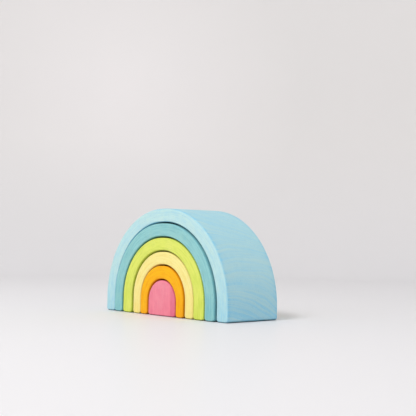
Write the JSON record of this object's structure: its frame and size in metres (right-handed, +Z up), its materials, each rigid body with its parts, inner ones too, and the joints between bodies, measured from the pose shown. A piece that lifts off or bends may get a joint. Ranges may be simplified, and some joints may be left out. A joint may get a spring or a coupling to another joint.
{
  "type": "rainbow stacker",
  "caption": "Wooden rainbow stacker: loose stained arches nested over a half-round core block. The arches lift off one by one and the core pushes out from below.",
  "frame": {"origin": "on the floor, under the middle of the nested stack", "axes": "+X across the width of the arches, +Y from the front to the back, +Z up"},
  "size_m": [0.171, 0.0594, 0.095],
  "materials": {
    "light_blue_stain": "matte water-based stain on fine pale wood",
    "teal_stain": "matte water-based stain on fine pale wood",
    "green_stain": "matte water-based stain on fine pale wood",
    "yellow_stain": "matte water-based stain on fine pale wood",
    "orange_stain": "matte water-based stain on fine pale wood",
    "pink_stain": "matte water-based stain on fine pale wood"
  },
  "bodies": {
    "orange_arch": {"orange_arch": "orange_stain"},
    "pink_core": {"pink_core": "pink_stain"},
    "yellow_arch": {"yellow_arch": "yellow_stain"},
    "green_arch": {"green_arch": "green_stain"},
    "teal_arch": {"teal_arch": "teal_stain"},
    "light_blue_arch": {"light_blue_arch": "light_blue_stain"}
  },
  "joints": [
    {"name": "core_slide", "type": "slide", "parent": "orange_arch", "child": "pink_core", "axis": [0, 1, 0], "range_m": [-0.061, 0.061]},
    {"name": "yellow_lift", "type": "slide", "parent": "orange_arch", "child": "yellow_arch", "axis": [0, 0, 1], "range_m": [0, 0.047]},
    {"name": "green_lift", "type": "slide", "parent": "yellow_arch", "child": "green_arch", "axis": [0, 0, 1], "range_m": [0, 0.06]},
    {"name": "teal_lift", "type": "slide", "parent": "green_arch", "child": "teal_arch", "axis": [0, 0, 1], "range_m": [0, 0.073]},
    {"name": "light_blue_lift", "type": "slide", "parent": "teal_arch", "child": "light_blue_arch", "axis": [0, 0, 1], "range_m": [0, 0.085]}
  ]
}
